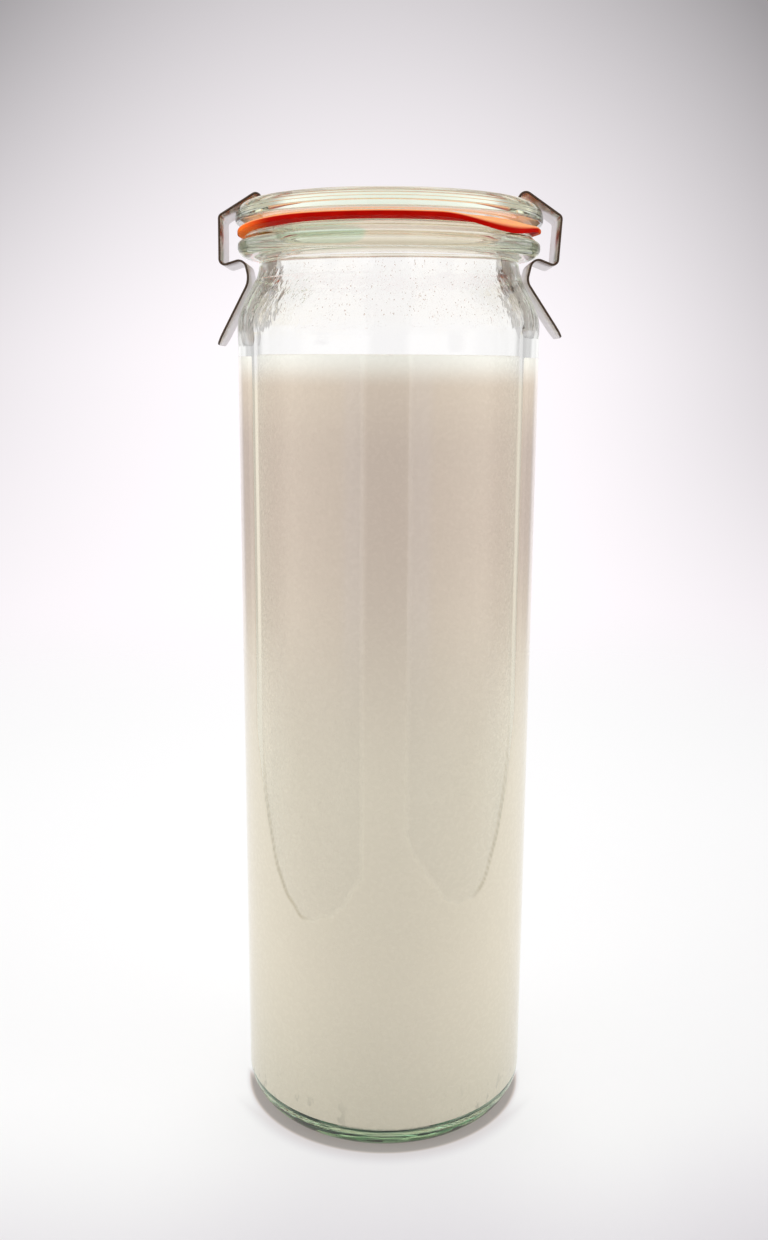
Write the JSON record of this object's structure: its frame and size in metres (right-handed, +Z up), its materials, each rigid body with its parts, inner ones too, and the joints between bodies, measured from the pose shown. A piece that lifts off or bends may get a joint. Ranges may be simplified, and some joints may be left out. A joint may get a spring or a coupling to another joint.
{
  "type": "cylinder jar",
  "caption": "Tall straight-sided glass preserving jar with a pale filling, closed by a glass lid, a flat rubber ring and sprung steel clamps.",
  "frame": {"origin": "on the jar's axis, at the height of the face that it stands on", "axes": "+Z up along the jar's axis, +X towards the right-hand clamp, -Y towards the camera"},
  "size_m": [0.0774, 0.0678, 0.2143],
  "materials": {
    "clear_glass": "clear, polished, faintly green",
    "white_filling": "opaque, creamy, softly glossy",
    "red_rubber": "satin, slightly translucent at its edge",
    "spring_steel": "bright rolled strip"
  },
  "bodies": {
    "jar": {"jar_body": "clear_glass", "filling": "white_filling"},
    "lid": {"lid": "clear_glass", "sealing_ring": "red_rubber"},
    "clamp_left": {"clamp_left": "spring_steel"},
    "clamp_right": {"clamp_right": "spring_steel"}
  },
  "joints": [
    {"name": "lid_lift", "type": "slide", "parent": "jar", "child": "lid", "axis": [0, 0, 1], "range_m": [0, 0.009]},
    {"name": "clamp_right_swing", "type": "hinge", "parent": "lid", "child": "clamp_right", "pos_m": [0.02661, 0, 0.21055], "axis": [0, -1, 0], "range_deg": [0, 104]},
    {"name": "clamp_left_swing", "type": "hinge", "parent": "lid", "child": "clamp_left", "pos_m": [-0.02661, 0, 0.21055], "axis": [0, 1, 0], "range_deg": [0, 104]}
  ],
  "couplings": [
    {"joint": "clamp_right_swing", "follows": "lid_lift", "rad_per_m": 200},
    {"joint": "clamp_left_swing", "follows": "lid_lift", "rad_per_m": 200}
  ]
}
